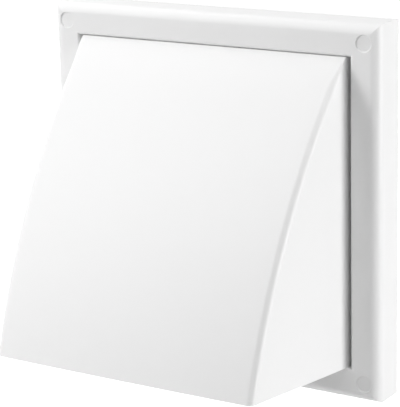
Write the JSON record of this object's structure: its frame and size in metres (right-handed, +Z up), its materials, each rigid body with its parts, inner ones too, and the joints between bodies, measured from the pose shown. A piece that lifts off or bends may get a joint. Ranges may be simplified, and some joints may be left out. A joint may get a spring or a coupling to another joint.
{
  "type": "hooded wall vent",
  "caption": "White plastic hooded wall vent: a square frame with a round duct spigot, a curved rain hood, a gravity flap and a guard grille.",
  "frame": {"origin": "on the duct's axis, in the wall plane: the back of the frame", "axes": "+Z up on the wall, +Y along the duct into the wall, the hood faces -Y"},
  "size_m": [0.15, 0.1262, 0.15],
  "materials": {
    "frame": "satin white moulded plastic",
    "hood": "satin white moulded plastic",
    "flap": "matt white moulded plastic",
    "guard_grille": "matt white moulded plastic"
  },
  "bodies": {
    "vent": {"frame": "frame", "hood": "hood", "guard_grille": "guard_grille"},
    "flap": {"flap": "flap"}
  },
  "joints": [
    {"name": "flap_hinge", "type": "hinge", "parent": "vent", "child": "flap", "pos_m": [0, -0.0052, 0.054], "axis": [-1, 0, 0], "range_deg": [0, 38]}
  ]
}
